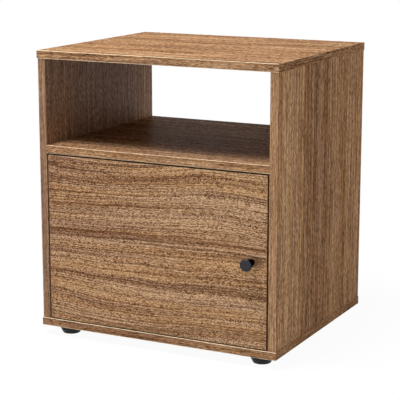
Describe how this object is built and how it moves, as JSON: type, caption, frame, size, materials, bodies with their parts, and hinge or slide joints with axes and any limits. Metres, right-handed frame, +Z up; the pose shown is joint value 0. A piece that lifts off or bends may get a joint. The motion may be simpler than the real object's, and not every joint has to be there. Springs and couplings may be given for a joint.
{
  "type": "storage side table with door",
  "caption": "Square-edged wood-look side table with an open through cubby above a compartment closed by a left-hung inset door with a round knob.",
  "frame": {"origin": "centre of the bounding box at the floor, under the feet", "axes": "+X to the right of someone facing the door, +Y to the back, +Z up; the door faces -Y"},
  "size_m": [0.49, 0.4368, 0.546],
  "materials": {
    "walnut_foil": "satin walnut-look foil on particleboard",
    "hardboard": "smooth hardboard, printed face",
    "beech": "plain fluted beech",
    "foot_plastic": "moulded black",
    "knob_black": "satin black",
    "cast_zinc": "as-cast zinc",
    "screw_steel": "zinc plated",
    "hinge_steel": "nickel plated",
    "catch_plastic": "moulded brown",
    "ferrite": "sintered ferrite"
  },
  "bodies": {
    "carcass": {"top_panel": "walnut_foil", "bottom_panel": "walnut_foil", "left_side_panel": "walnut_foil", "right_side_panel": "walnut_foil", "cubby_shelf": "walnut_foil", "back_panel": "hardboard", "dowels": "beech", "foot_front_left": "foot_plastic", "foot_front_right": "foot_plastic", "foot_back_left": "foot_plastic", "foot_back_right": "foot_plastic", "cam_discs": "cast_zinc", "cam_bolts": "cast_zinc", "connector_screws": "screw_steel", "foot_screws": "screw_steel", "plate_screws": "screw_steel", "arm_screws": "screw_steel", "catch_screws": "screw_steel", "lower_hinge_arm": "hinge_steel", "lower_hinge_plate": "hinge_steel", "upper_hinge_arm": "hinge_steel", "upper_hinge_plate": "hinge_steel", "inner_arm_pins": "hinge_steel", "outer_arm_pins": "hinge_steel", "catch_housing": "catch_plastic", "catch_magnet": "ferrite", "catch_poles": "screw_steel"},
    "inner_links": {"lower_hinge_inner_link": "hinge_steel", "upper_hinge_inner_link": "hinge_steel"},
    "door": {"door_panel": "walnut_foil", "knob": "knob_black", "knob_screw": "screw_steel", "lower_hinge_cup": "hinge_steel", "upper_hinge_cup": "hinge_steel", "cup_screws": "screw_steel", "inner_cup_pins": "hinge_steel", "outer_cup_stubs": "hinge_steel", "strike_plate": "screw_steel", "strike_screws": "screw_steel"},
    "outer_links": {"lower_hinge_outer_link": "hinge_steel", "upper_hinge_outer_link": "hinge_steel"}
  },
  "joints": [
    {"name": "hinge_swing", "type": "hinge", "parent": "carcass", "child": "inner_links", "pos_m": [-0.2063, -0.18395, 0.193], "axis": [0, 0, -1], "range_deg": [0, 70]},
    {"name": "door_turn", "type": "hinge", "parent": "inner_links", "child": "door", "pos_m": [-0.217, -0.18525, 0.193], "axis": [0, 0, -1], "range_deg": [0, 25]},
    {"name": "outer_link_turn", "type": "hinge", "parent": "carcass", "child": "outer_links", "pos_m": [-0.1959, -0.18185, 0.193], "axis": [0, 0, -1], "range_deg": [0, 15.2]}
  ],
  "couplings": [
    {"joint": "door_turn", "follows": "hinge_swing", "ratio": 0.357},
    {"joint": "outer_link_turn", "follows": "hinge_swing", "ratio": 0.216}
  ]
}
